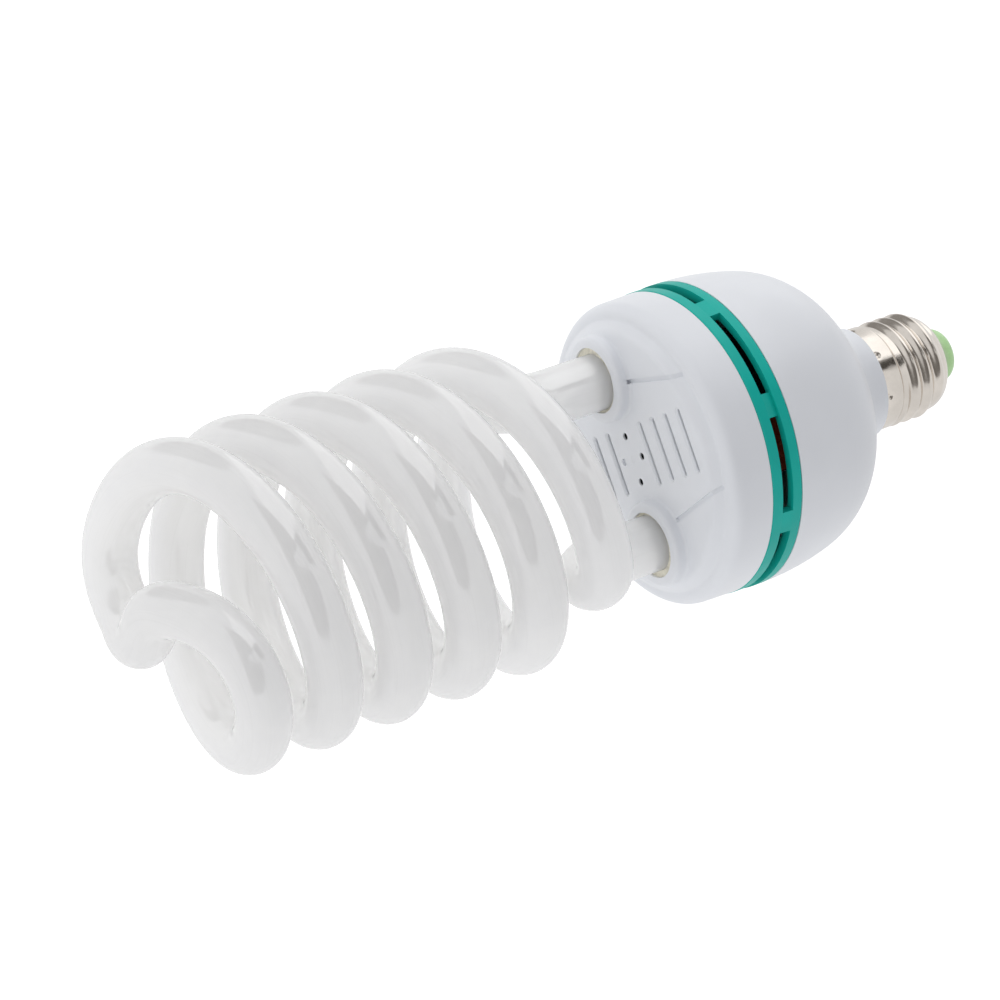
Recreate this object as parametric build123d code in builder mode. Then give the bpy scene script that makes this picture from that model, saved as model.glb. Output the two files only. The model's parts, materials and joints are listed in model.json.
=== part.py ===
from build123d import *
import os
from math import acos, atan2, cos, degrees, radians, sin, sqrt

# A compact fluorescent photo studio bulb, in millimetres and degrees.
# The origin is the centre of the end contact's face, and +Z runs along the axis to the spiral's tip.
# The two legs of the glass tube stand on the X axis.

# Fits between touching pieces
seat_clearance = 0.05
lap_clearance = 0.15
cement_clearance = 0.05

# Screw cap, 27 mm Edison size
cap_length = 27.8  # contact face to the neck of the rear housing
crest_radius = 13.1
thread_depth = 1.0
skirt_inset = 0.15  # thread's crest to the plain skirt
skirt_length = 4.9
thread_pitch = 3.63
thread_turns = 3.04
thread_start_angle = 50.0
ridge_half_width = 1.25
ridge_root = 0.3  # how far the ridge is bedded in the sheet
shell_wall = 0.35
lip_height = 5.42  # contact face to the rounded end of the shell
lip_bend = 5.0
lip_flat = 0.15
insulator_gap = 0.2  # edge of the shell's opening to the insulator
insulator_shoulder = 3.6  # contact face to the end of the insulator's dome
insulator_face_inset = 1.4
insulator_bulge_inset = 0.45
insulator_bulge_height = 1.5
insulator_top = 8.3
insulator_base = 4.0
insulator_wall = 1.35
flange_seat = 0.6
flange_reach = 2.45
flange_slope = 0.9
contact_inset = 1.15  # edge of the insulator's face to the contact
contact_thickness = 0.5
contact_edge = 0.25
contact_dish_radius = 2.4
contact_dish_depth = 0.3
rivet_radius = 1.7
rivet_bore_radius = 0.9
rivet_top = 4.6
solder_top = 1.5

# Rear housing: a neck, a shoulder and a tall side, all tangent arcs
neck_step = 0.9  # skirt to the neck
neck_length = 1.2
neck_fillet = 10.0
shoulder_radius = 23.0
side_radius = 70.0
rim_radius = 38.0
bowl_height = 44.5
housing_wall = 1.8
spigot_inset = 0.6  # thread's root to the spigot
spigot_length = 14.0
spigot_wall = 1.5
spigot_ledge = 2.0

# Tube cover, with its radii stepped in from the rim
cover_inset = 0.3
cover_taper = 0.25
cover_wall = 1.9
face_height = 13.15  # vent ring to the raised face
face_inset = 5.95
face_foot_inset = 3.55
face_rise = 2.2
face_edge = 2.4
face_foot_fillet = 1.0
edge_radius = 3.1
collar_inset = 10.85  # edge of the raised face to each collar's axis
collar_gap = 1.2  # leg to the collar's bore
collar_wall = 2.5
collar_height = 3.2
collar_lip = 1.1
collar_fillet = 0.8
sleeve_wall = 1.6
sleeve_depth = 7.0
slots_per_row = 4
slot_width = 1.2
slot_mouth = 0.45  # how far each slot opens out at the face, on each side
vent_hole_radius = 0.9
dimple_depth = 0.6
groove_width = 1.05
groove_depth = 0.45
post_radius = 1.6
post_inset = 4.4  # edge of the board to each post

# Pattern of the raised face, in shares of its radius
slot_length_share = 0.489
slot_pitch_share = 0.1937
slot_start_share = 0.2508  # lamp axis to the first slot of each row
vent_hole_shares = (0.181, 0.1365)
groove_shares = (
    ((-0.5645, 0.2905), (-0.4644, 1.0273)),
    ((0.5384, 0.32), (0.401, 1.033)),
)

# Vent ring
ring_width = 8.45
ring_taper = 0.2
rear_flange = 2.75
front_flange = 2.85
ring_reveal = 0.25  # bevel along both outer edges
bar_recess = 0.8  # every second bar falls back to this depth at the rear flange
window_wall = 1.9
relief_reach = 1.0  # window's edge to the end of the hollow behind it
window_count = 8
window_arc = 36.0
window_turn = 25.0  # angle of the first window's middle
recess_turn = 92.5  # angle of the first recessed bar's middle
lap_height = 2.5
lap_wall = 1.15

# Spiral tube: thicker in the straight legs than in the drawn coil
leg_radius = 6.9
tube_radius = 6.5
leg_offset = 0.45  # collar's axis to the leg's axis
leg_rise = 16.8  # raised face to the end of the straight leg
leg_sink = 10.0  # raised face down to the sealed foot
foot_fillet = 3.0
coil_radius = 33.02
strand_spacing = 18.565
coil_turns = 2.4312
coil_start_angle = 53.35
coil_start_rise = 14.69  # end of the straight leg to the start of the coil
leg_bend_pull = 13.0
coil_bend_pull = 12.0
knee_radius = 17.44  # lamp axis to the knee where each strand turns in
knee_turn = 57.88  # end of the coil to the knee, about the axis
knee_rise = 7.9
knee_heading = 56.63
knee_slope = 21.02
knee_pulls = (9.1, 6.7)
tip_rise = 11.31
tip_angle = 125.66  # direction of the bridge where it crosses the axis
tip_coil_pull = 21.78
tip_bridge_pull = 7.14
cement_recess = 0.45
cement_depth = 5.0

# Radii worked out from the sizes above
root_radius = crest_radius - thread_depth
skirt_radius = crest_radius - skirt_inset
lip_radius = root_radius - lip_bend - lip_flat
insulator_radius = lip_radius - insulator_gap
insulator_face_radius = insulator_radius - insulator_face_inset
insulator_bulge = insulator_radius - insulator_bulge_inset
insulator_cup_radius = insulator_radius - insulator_wall
contact_radius = insulator_face_radius - contact_inset
spigot_radius = root_radius - spigot_inset
neck_radius = skirt_radius + neck_step
cover_radius = rim_radius - cover_inset
cover_front_radius = cover_radius - cover_taper
face_radius = cover_front_radius - face_inset
face_foot_radius = cover_front_radius - face_foot_inset
ring_front_radius = rim_radius - ring_taper
ring_inner_radius = cover_radius - cover_wall - lap_clearance - lap_wall
collar_reach = face_radius - collar_inset  # lamp axis to each collar's axis
leg_reach = collar_reach - leg_offset  # lamp axis to each leg's axis
collar_bore = leg_radius + collar_gap
collar_radius = collar_bore + collar_wall
sleeve_radius = collar_bore + sleeve_wall
slot_length = slot_length_share * face_radius
slot_pitch = slot_pitch_share * face_radius
slot_start = slot_start_share * face_radius
vent_hole_x = vent_hole_shares[0] * face_radius
vent_hole_y = vent_hole_shares[1] * face_radius

# Ballast board, and its parts sized and placed in shares of the board's radius
board_gap = 1.1  # vent ring's inside to the board's edge
board_radius = ring_inner_radius - board_gap
board_thickness = 1.6
board_lift = 1.2  # vent ring to the board's front face
pin_radius = 0.35
pin_hole_radius = 0.45
pin_stub = 0.8  # how far a pin stands out of the board's front face
body_lift = 0.3  # board to the underside of an upright body
post_reach = board_radius - post_inset


def share(*parts):
    """Lengths given as shares of the board's radius."""
    return tuple(part * board_radius for part in parts)


capacitor_radius, capacitor_height, capacitor_pin_half = share(0.27, 0.93, 0.112)
capacitor_edge = 1.0
capacitor_bead_height = 3.0
capacitor_bead_depth = 0.5
capacitor_place = share(-0.404, -0.284)
choke_size = share(0.75, 0.39, 0.6)
choke_side, choke_centre, choke_yoke, choke_pin_half = share(0.135, 0.21, 0.135, 0.24)
choke_place = share(0, 0.45)
bobbin_gap = 0.1
bobbin_wall = 0.9
winding_depth = 2.8
winding_edge = 1.2
drive_ring_radius, drive_ring_hole, drive_ring_height = share(0.144, 0.072, 0.138)
drive_wire = 0.5
drive_turns = 6
drive_pin_half = 3.0
drive_place = share(0.33, -0.09)
transistor_size = share(0.135, 0.3, 0.275)
transistor_tab = share(0.039, 0.18)
transistor_hole_radius, transistor_lift = share(0.054, 0.12)
transistor_reach, transistor_pitch = share(0.749, 0.383)
transistor_pin_pitch = 2.54
film_edge = 0.8
resonance_size = share(0.48, 0.21, 0.39)
resonance_place = share(0.18, -0.66)
coupling_size = share(0.36, 0.165, 0.315)
coupling_place = share(0.27, -0.407)
resonance_pin_half, coupling_pin_half = share(0.18, 0.12)
filter_flange_radius, filter_core_radius, filter_winding_radius = share(0.138, 0.066, 0.117)
filter_height, filter_flange, filter_pin_half = share(0.33, 0.048, 0.075)
filter_place = share(-0.72, 0.285)
axial_lift = 0.4
axial_span = 1.8  # how far a wire end stands off its body before it turns to the board
axial_bend = 0.7
axial_edge = 0.3
diode_radius, diode_length, diode_pitch = share(0.04, 0.156, 0.15)
diode_count = 4
diode_place = share(0, 0.815)
fuse_radius, fuse_length = share(0.06, 0.3)
fuse_place = share(-0.81, -0.15)
trigger_radius, trigger_length = share(0.03, 0.12)
trigger_place = share(0.225, 0.192)
resistor_radius, resistor_length = share(0.0345, 0.18)
resistor_places = (share(-0.42, 0.087), share(-0.42, 0.189))
thermistor_radius, thermistor_thickness = share(0.12, 0.096)
thermistor_edge = 0.8
thermistor_lift, thermistor_pin_half = share(0.075, 0.075)
thermistor_place = share(0.563, 0.524)
wire_post_side = 0.9
wire_post_height = 5.0
wire_post_reach = share(0.808, 0.317)
filament_radius = 0.3
filament_half = 2.5
filament_drop = 0.8  # sealed foot to the wires' run along the board
cap_lead_radius = 0.6
cap_lead_half = 2.2
cap_lead_bend = 4.0
live_lead_turns = (42.0, 18.0)
neutral_lead_turns = (30.0, 17.0)
neutral_lead_inset = 6.0
neutral_foot_lift = 0.6  # end of the shell's bend to the lead's foot

# Heights worked out from the sizes above
neck_z = cap_length
ring_rear_z = neck_z + bowl_height
ring_front_z = ring_rear_z + ring_width
face_z = ring_front_z + face_height
face_foot_z = face_z - face_rise
collar_z = face_z + collar_height
board_front_z = ring_front_z + board_lift
board_rear_z = board_front_z - board_thickness
leg_foot_z = face_z - leg_sink
leg_top_z = face_z + leg_rise
coil_start_z = leg_top_z + coil_start_rise
coil_height = 2 * strand_spacing * coil_turns
coil_end_z = coil_start_z + coil_height
knee_z = coil_end_z + knee_rise
tip_z = coil_end_z + tip_rise
skirt_z = neck_z - skirt_length
skirt_flare = skirt_radius - root_radius
spigot_end_z = neck_z - spigot_length
neutral_foot_z = lip_height + lip_bend + neutral_foot_lift
pin_length = board_thickness + pin_stub + body_lift

# Components hang from the rear face of the board: local Z runs from the board towards the cap
board_plane = Plane(origin=(0, 0, board_rear_z), x_dir=(1, 0, 0), z_dir=(0, 0, -1))
upright = (Align.CENTER, Align.CENTER, Align.MIN)

os.makedirs("parts", exist_ok=True)


def finish(builder, name):
    """Label a finished piece and write it to its own file."""
    builder.part.label = name
    export_step(builder.part, f"parts/{name}.step")


def around(radius, angle, height):
    """Point at a radius and an angle about the lamp's axis, at a height."""
    return Vector(radius * cos(radians(angle)), radius * sin(radians(angle)), height)


def run_to(start, way, radius):
    """Distance from a point, along a unit way, out to a circle about the lamp's axis."""
    along = start.dot(way)
    return sqrt(along**2 + radius**2 - start.length**2) - along


def pair(place, half, turn=0):
    """Two points on either side of a place, on a line turned from X."""
    step = around(half, turn, 0)
    return [(place[0] - step.X, place[1] - step.Y), (place[0] + step.X, place[1] + step.Y)]


def wire(radius, bend, *points):
    """Round wire along a polyline with rounded corners."""
    with BuildPart() as bent_wire:
        with BuildLine() as run:
            FilletPolyline(*points, radius=bend)
        with BuildSketch(Plane(origin=run.line @ 0, z_dir=run.line % 0)):
            Circle(radius)
        sweep(path=run.line)
    return bent_wire.part


def axial_component(radius, length):
    """Round body lying along X above a board at Z 0, with its wire ends turned down through it."""
    height = radius + axial_lift
    reach = length / 2 + axial_span
    foot = -board_thickness - pin_stub
    ends = wire(
        pin_radius,
        axial_bend,
        (-reach, 0, foot),
        (-reach, 0, height),
        (reach, 0, height),
        (reach, 0, foot),
    )
    with BuildPart() as component:
        with Locations((0, 0, height)):
            Cylinder(radius, length, rotation=(0, 90, 0))
        fillet(component.edges().filter_by(GeomType.CIRCLE), axial_edge)
        add(ends)
    return component.part


# Screw shell: thin sheet with a plain skirt, a rolled ridge and a turned-in lip
with BuildPart() as screw_shell:
    with BuildSketch(Plane.XZ):
        with BuildLine():
            FilletPolyline(
                (lip_radius, lip_height),
                (root_radius, lip_height),
                (root_radius, skirt_z),
                (skirt_radius, skirt_z + skirt_flare),
                (skirt_radius, neck_z - seat_clearance),
                radius=[lip_bend, skirt_flare, skirt_flare],
            )
            offset(amount=shell_wall, side=Side.LEFT)
        make_face()
    revolve(axis=Axis.Z)
    thread_height = thread_pitch * thread_turns
    thread_z = skirt_z - skirt_flare / 2 - ridge_half_width - thread_height
    with BuildLine() as thread_path:
        Helix(thread_pitch, thread_height, root_radius, center=(0, 0, thread_z))
    thread = thread_path.edge().rotate(Axis.Z, thread_start_angle)
    with BuildSketch(Plane(origin=thread @ 0, x_dir=around(1, thread_start_angle, 0), z_dir=thread % 0)):
        with BuildLine():
            Line((-ridge_root, -ridge_half_width), (-ridge_root, ridge_half_width))
            ThreePointArc(
                (-ridge_root, ridge_half_width),
                (crest_radius - root_radius, 0),
                (-ridge_root, -ridge_half_width),
            )
        make_face()
    sweep(path=thread, is_frenet=True)
finish(screw_shell, "screw_shell")

# Insulator: a domed cup that seats on the inside of the shell's lip
with BuildPart() as cap_insulator:
    with BuildSketch(Plane.XZ):
        with BuildLine():
            flange_z = lip_height + shell_wall + seat_clearance
            stem_hole = rivet_radius + seat_clearance
            dome_z = contact_thickness + seat_clearance
            Line((stem_hole, dome_z), (insulator_face_radius, dome_z))
            ThreePointArc(
                (insulator_face_radius, dome_z),
                (insulator_bulge, insulator_bulge_height),
                (insulator_radius, insulator_shoulder),
            )
            Polyline(
                (insulator_radius, insulator_shoulder),
                (insulator_radius, flange_z),
                (lip_radius + flange_seat, flange_z),
                (lip_radius + flange_reach, flange_z + flange_slope),
                (lip_radius + flange_reach, insulator_top),
                (insulator_cup_radius, insulator_top),
                (insulator_cup_radius, insulator_base),
                (stem_hole, insulator_base),
                (stem_hole, dome_z),
            )
        make_face()
    revolve(axis=Axis.Z)
finish(cap_insulator, "cap_insulator")

# End contact: a dished disc with a hollow rivet stem
with BuildPart() as centre_contact:
    with BuildSketch(Plane.XZ):
        with BuildLine():
            Polyline(
                (rivet_bore_radius, contact_dish_depth),
                (contact_dish_radius, 0),
                (contact_radius, 0),
                (contact_radius, contact_thickness),
                (rivet_radius, contact_thickness),
                (rivet_radius, rivet_top),
                (rivet_bore_radius, rivet_top),
                close=True,
            )
        make_face()
    revolve(axis=Axis.Z)
    rim = centre_contact.edges().filter_by(GeomType.CIRCLE).filter_by(lambda e: e.radius == contact_radius)
    fillet(rim.sort_by(Axis.Z)[0], contact_edge)
finish(centre_contact, "centre_contact")

# Solder that fills the dish and the end of the rivet
with BuildPart() as contact_solder:
    with BuildSketch(Plane.XZ):
        with BuildLine():
            Polyline(
                (0, 0),
                (contact_dish_radius - 2 * seat_clearance, 0),
                (rivet_bore_radius - seat_clearance, contact_dish_depth - seat_clearance),
                (rivet_bore_radius - seat_clearance, solder_top),
                (0, solder_top),
                close=True,
            )
        make_face()
    revolve(axis=Axis.Z)
finish(contact_solder, "contact_solder")

# Rear housing: centres of the three tangent arcs, in the radius and height plane
side_centre = Vector(rim_radius - side_radius, ring_rear_z)
neck_centre = Vector(neck_radius + neck_fillet, neck_z + neck_length)
side_reach = side_radius - shoulder_radius
neck_reach = shoulder_radius + neck_fillet
span = neck_centre - side_centre
span_corner = acos((side_reach**2 + span.length**2 - neck_reach**2) / (2 * side_reach * span.length))
side_end = atan2(-span.Y, span.X) - span_corner
shoulder_centre = side_centre + Vector(cos(side_end), -sin(side_end)) * side_reach
neck_way = neck_centre - shoulder_centre
side_turn = degrees(side_end)
shoulder_turn = degrees(atan2(-neck_way.Y, neck_way.X))


def bowl_curve(inset):
    """The housing's curve from the rim to the neck, moved inwards by an inset."""
    CenterArc(side_centre, side_radius - inset, 0, -side_turn)
    CenterArc(shoulder_centre, shoulder_radius - inset, -side_turn, side_turn - shoulder_turn)
    CenterArc(neck_centre, neck_fillet + inset, 180 - shoulder_turn, shoulder_turn)


with BuildPart() as rear_housing:
    with BuildSketch(Plane.XZ):
        with BuildLine():
            skirt_bore = skirt_radius - shell_wall - lap_clearance
            ledge_z = neck_z + spigot_ledge
            bowl_curve(0)
            Polyline(
                (neck_radius, neck_centre.Y),
                (neck_radius, neck_z),
                (skirt_bore, neck_z),
                (skirt_bore, skirt_z + 2 * skirt_flare),
                (spigot_radius, skirt_z + skirt_flare),
                (spigot_radius, spigot_end_z),
                (spigot_radius - spigot_wall, spigot_end_z),
                (spigot_radius - spigot_wall, ledge_z),
                (neck_radius - housing_wall, ledge_z),
                (neck_radius - housing_wall, neck_centre.Y),
            )
            bowl_curve(housing_wall)
            Line((rim_radius - housing_wall, ring_rear_z), (rim_radius, ring_rear_z))
        make_face()
    revolve(axis=Axis.Z)
finish(rear_housing, "rear_housing")

# Vent ring: two flanges joined by bars between open windows, and a lap lip into each shell
window_rear_z = ring_rear_z + rear_flange
window_front_z = ring_front_z - front_flange
with BuildSketch() as window:
    with BuildLine():
        window_start = around(1, -window_arc / 2, 0)
        window_end = around(1, window_arc / 2, 0)
        window_inside = ring_inner_radius - lap_wall
        window_outside = rim_radius + lap_wall
        CenterArc((0, 0), window_inside, -window_arc / 2, window_arc)
        Line(window_end * window_inside, window_end * window_outside)
        CenterArc((0, 0), window_outside, -window_arc / 2, window_arc)
        Line(window_start * window_inside, window_start * window_outside)
    make_face()
bar_arc = 360 / window_count - window_arc
with BuildPart() as bar_cut:
    with BuildSketch(Plane.XZ):
        with BuildLine():
            Polyline(
                (rim_radius - bar_recess, window_rear_z),
                (rim_radius + lap_wall, window_rear_z),
                (rim_radius + lap_wall, window_front_z),
                (ring_front_radius, window_front_z),
                close=True,
            )
        make_face()
    revolve(axis=Axis.Z, revolution_arc=2 * bar_arc)
with BuildPart() as vent_ring:
    rear_lap = rim_radius - housing_wall - lap_clearance
    front_lap = cover_radius - cover_wall - lap_clearance
    with BuildSketch(Plane.XZ):
        with BuildLine():
            Polyline(
                (ring_inner_radius, ring_rear_z - lap_height),
                (rear_lap, ring_rear_z - lap_height),
                (rear_lap, ring_rear_z + seat_clearance),
                (rim_radius - ring_reveal, ring_rear_z + seat_clearance),
                (rim_radius, ring_rear_z + seat_clearance + ring_reveal),
                (rim_radius, window_rear_z),
                (ring_front_radius, window_front_z),
                (ring_front_radius, ring_front_z - seat_clearance - ring_reveal),
                (ring_front_radius - ring_reveal, ring_front_z - seat_clearance),
                (front_lap, ring_front_z - seat_clearance),
                (front_lap, ring_front_z + lap_height),
                (ring_inner_radius, ring_front_z + lap_height),
                close=True,
            )
        make_face()
    revolve(axis=Axis.Z)
    with BuildSketch(Plane.XY.offset(window_rear_z - relief_reach)):
        Circle(ring_front_radius - window_wall)
    extrude(amount=window_front_z - window_rear_z + 2 * relief_reach, mode=Mode.SUBTRACT)
    with BuildSketch(Plane.XY.offset(window_rear_z)):
        with PolarLocations(0, window_count, start_angle=window_turn):
            add(window.sketch)
    extrude(amount=window_front_z - window_rear_z, mode=Mode.SUBTRACT)
    with PolarLocations(0, window_count // 2, start_angle=recess_turn - bar_arc):
        add(bar_cut.part, mode=Mode.SUBTRACT)
finish(vent_ring, "vent_ring")

# Tube cover: a rounded cup with a raised, vented face and two collars for the legs
with BuildPart() as tube_cover:
    cover_foot_z = ring_front_z + seat_clearance
    with BuildSketch(Plane.XZ):
        with BuildLine():
            FilletPolyline(
                (0, face_z),
                (face_radius, face_z),
                (face_foot_radius, face_foot_z),
                (cover_front_radius, face_foot_z),
                (cover_radius, cover_foot_z),
                radius=[face_edge, face_foot_fillet, edge_radius],
            )
            Polyline((cover_radius, cover_foot_z), (0, cover_foot_z), (0, face_z))
        make_face()
    revolve(axis=Axis.Z)
    with BuildSketch(Plane.XZ):
        with BuildLine():
            FilletPolyline(
                (0, face_z - cover_wall),
                (face_radius - cover_wall / 2, face_z - cover_wall),
                (face_foot_radius - cover_wall / 2, face_foot_z - cover_wall),
                (cover_front_radius - cover_wall, face_foot_z - cover_wall),
                (cover_radius - cover_wall, cover_foot_z),
                radius=[face_foot_fillet, face_foot_fillet, edge_radius - cover_wall],
            )
            Polyline((cover_radius - cover_wall, cover_foot_z), (0, cover_foot_z), (0, face_z - cover_wall))
        make_face()
    revolve(axis=Axis.Z, mode=Mode.SUBTRACT)
    with BuildSketch(Plane.XY.offset(face_z - cover_wall / 2)):
        with PolarLocations(collar_reach, 2):
            Circle(collar_radius)
    extrude(amount=collar_height + cover_wall / 2)
    collar_rims = tube_cover.edges().filter_by_position(Axis.Z, collar_z, collar_z)
    fillet(collar_rims.filter_by(GeomType.CIRCLE), collar_lip)
    collar_feet = tube_cover.edges().filter_by_position(Axis.Z, face_z, face_z)
    fillet(collar_feet.filter_by(lambda e: abs(e.radius - collar_radius) < seat_clearance), collar_fillet)
    with BuildSketch(Plane.XY.offset(face_z - sleeve_depth)):
        with PolarLocations(collar_reach, 2):
            Circle(sleeve_radius)
    extrude(amount=sleeve_depth - cover_wall / 2)
    with BuildSketch(Plane.XY.offset(board_front_z + seat_clearance)):
        with PolarLocations(post_reach, 4, start_angle=45):
            Circle(post_radius)
    extrude(amount=face_z - board_front_z - cover_wall / 2)
    with BuildSketch(Plane.XY.offset(face_z - sleeve_depth)):
        with PolarLocations(collar_reach, 2):
            Circle(collar_bore)
    extrude(amount=sleeve_depth + collar_height, mode=Mode.SUBTRACT)
    row_middle = slot_start + slot_pitch * (slots_per_row - 1) / 2
    with BuildSketch(Plane.XY.offset(face_z)):
        with Locations((0, row_middle), (0, -row_middle)):
            with GridLocations(0, slot_pitch, 1, slots_per_row):
                SlotOverall(slot_length, slot_width)
        with Locations((vent_hole_x, 0), (-vent_hole_x, 0), (0, vent_hole_y)):
            Circle(vent_hole_radius)
    extrude(amount=-cover_wall, mode=Mode.SUBTRACT)
    with BuildSketch(Plane.XY.offset(face_z)):
        with Locations((0, row_middle), (0, -row_middle)):
            with GridLocations(0, slot_pitch, 1, slots_per_row):
                SlotOverall(slot_length + 2 * slot_mouth, slot_width + 2 * slot_mouth)
    extrude(amount=-slot_mouth, taper=45, mode=Mode.SUBTRACT)
    with BuildSketch(Plane.XY.offset(face_z)):
        with Locations((0, -vent_hole_y)):
            Circle(vent_hole_radius)
    extrude(amount=-dimple_depth, mode=Mode.SUBTRACT)
    for start_share, end_share in groove_shares:
        start = Vector(*start_share) * face_radius
        way = (Vector(*end_share) * face_radius - start).normalized()
        edge_run = run_to(start, way, face_radius)
        foot_run = run_to(start, way, face_foot_radius)
        groove_plane = Plane(origin=(start.X, start.Y, face_z), x_dir=way, z_dir=(way.Y, -way.X, 0))
        with BuildSketch(groove_plane):
            with BuildLine():
                Polyline(
                    (0, collar_fillet),
                    (0, -groove_depth),
                    (edge_run, -groove_depth),
                    (foot_run, -face_rise - groove_depth),
                    (foot_run, collar_fillet),
                    close=True,
                )
            make_face()
        extrude(amount=groove_width / 2, both=True, mode=Mode.SUBTRACT)
finish(tube_cover, "tube_cover")

# One strand of the tube: leg, bend, rising coil, and a knee and bridge that end on the lamp's axis
coil_end_angle = coil_start_angle + 360 * coil_turns
coil_start = around(coil_radius, coil_start_angle, coil_start_z)
coil_end = around(coil_radius, coil_end_angle, coil_end_z)
leg_top = Vector(leg_reach, 0, leg_top_z)
tip = Vector(0, 0, tip_z)
with BuildLine() as plain_coil:
    Helix(2 * strand_spacing, coil_height, coil_radius, center=(0, 0, coil_start_z))
coil = plain_coil.edge().rotate(Axis.Z, coil_start_angle)
bend_side = Vector(0, 0, 1).cross(coil % 0).normalized()
knee = around(knee_radius, coil_end_angle + knee_turn, knee_z)
knee_way = around(cos(radians(knee_slope)), knee_heading, sin(radians(knee_slope)))
with BuildLine() as leg_bend:
    Bezier(
        leg_top,
        leg_top + Vector(0, 0, leg_bend_pull),
        coil_start - (coil % 0) * coil_bend_pull,
        coil_start,
    )
with BuildLine() as coil_path:
    add(coil)
    Bezier(
        coil_end,
        coil_end + (coil % 1) * tip_coil_pull,
        knee - knee_way * knee_pulls[0],
        knee,
    )
    Bezier(
        knee,
        knee + knee_way * knee_pulls[1],
        tip - around(tip_bridge_pull, tip_angle, 0),
        tip,
    )
with BuildSketch(Plane(origin=leg_top, x_dir=bend_side, z_dir=(0, 0, 1))) as leg_section:
    Circle(leg_radius)
with BuildSketch(Plane(origin=coil_start, x_dir=bend_side, z_dir=coil % 0)) as coil_section:
    Circle(tube_radius)
with BuildPart() as strand:
    with BuildSketch(Plane.XY.offset(leg_foot_z)):
        with Locations((leg_reach, 0)):
            Circle(leg_radius)
    extrude(amount=leg_top_z - leg_foot_z)
    sweep(sections=[leg_section.sketch, coil_section.sketch], path=leg_bend.line, multisection=True)
    sweep(sections=coil_section.sketch, path=coil_path.wire())
with BuildPart() as spiral_tube:
    with PolarLocations(0, 2):
        add(strand.part)
    leg_feet = spiral_tube.edges().filter_by_position(Axis.Z, leg_foot_z, leg_foot_z)
    fillet(leg_feet, foot_fillet)
finish(spiral_tube, "spiral_tube")

# Cement between each leg and its collar
for cement_name, cement_side in (("leg_cement_a", 1), ("leg_cement_b", -1)):
    with BuildPart() as leg_cement:
        with BuildSketch(Plane.XY.offset(collar_z - cement_recess)):
            with Locations((cement_side * collar_reach, 0)):
                Circle(collar_bore - cement_clearance)
            with Locations((cement_side * leg_reach, 0)):
                Circle(leg_radius + cement_clearance, mode=Mode.SUBTRACT)
        extrude(amount=-cement_depth)
    finish(leg_cement, cement_name)

# Where pins go through the board
transistor_places = [(transistor_reach, -transistor_pitch / 2), (transistor_reach, transistor_pitch / 2)]
diode_steps = [diode_pitch * (i - (diode_count - 1) / 2) for i in range(diode_count)]
diode_places = [(diode_place[0] + step, diode_place[1]) for step in diode_steps]
capacitor_pins = pair(capacitor_place, capacitor_pin_half)
choke_pins = pair(choke_place, choke_pin_half)
drive_pins = pair(drive_place, drive_pin_half, 90)
resonance_pins = pair(resonance_place, resonance_pin_half)
coupling_pins = pair(coupling_place, coupling_pin_half)
filter_pins = pair(filter_place, filter_pin_half)
thermistor_pins = pair(thermistor_place, thermistor_pin_half)
transistor_pins = [(u, v + i * transistor_pin_pitch) for u, v in transistor_places for i in (-1, 0, 1)]
axial_pins = pair(fuse_place, fuse_length / 2 + axial_span, 90)
axial_pins += pair(trigger_place, trigger_length / 2 + axial_span)
for spot in resistor_places:
    axial_pins += pair(spot, resistor_length / 2 + axial_span)
for spot in diode_places:
    axial_pins += pair(spot, diode_length / 2 + axial_span, 90)
board_pins = capacitor_pins + choke_pins + drive_pins + resonance_pins + coupling_pins
board_pins += filter_pins + thermistor_pins + transistor_pins + axial_pins

with BuildPart() as ballast_board:
    with BuildSketch(board_plane):
        Circle(board_radius)
        with Locations(*board_pins):
            Circle(pin_hole_radius, mode=Mode.SUBTRACT)
    extrude(amount=-board_thickness)
finish(ballast_board, "ballast_board")


def pins(spots):
    """Straight pins from just above the board's rear face to just past its front face."""
    with Locations(*[(u, v, -board_thickness - pin_stub) for u, v in spots]):
        Cylinder(pin_radius, pin_length, align=upright)


# Smoothing capacitor
with BuildPart(board_plane) as smoothing_capacitor:
    with Locations((*capacitor_place, body_lift)):
        Cylinder(capacitor_radius, capacitor_height, align=upright)
    fillet(smoothing_capacitor.edges().filter_by(GeomType.CIRCLE), capacitor_edge)
    with Locations((*capacitor_place, body_lift + capacitor_bead_height)):
        Torus(capacitor_radius, capacitor_bead_depth, mode=Mode.SUBTRACT)
    pins(capacitor_pins)
finish(smoothing_capacitor, "smoothing_capacitor")

# Choke: a closed core with two windows, a bobbin on its centre leg and the winding on that
choke_width, choke_depth, choke_height = choke_size
window_side = choke_width / 2 - choke_side
window_height = choke_height - 2 * choke_yoke
choke_middle = body_lift + choke_height / 2
with BuildPart(board_plane) as choke_core:
    with Locations((*choke_place, body_lift)):
        Box(choke_width, choke_depth, choke_height, align=upright)
    window_middle = (window_side + choke_centre / 2) / 2
    with Locations(*[(choke_place[0] + s * window_middle, choke_place[1], choke_middle) for s in (-1, 1)]):
        Box(window_side - choke_centre / 2, choke_depth, window_height, mode=Mode.SUBTRACT)
finish(choke_core, "choke_core")

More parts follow.
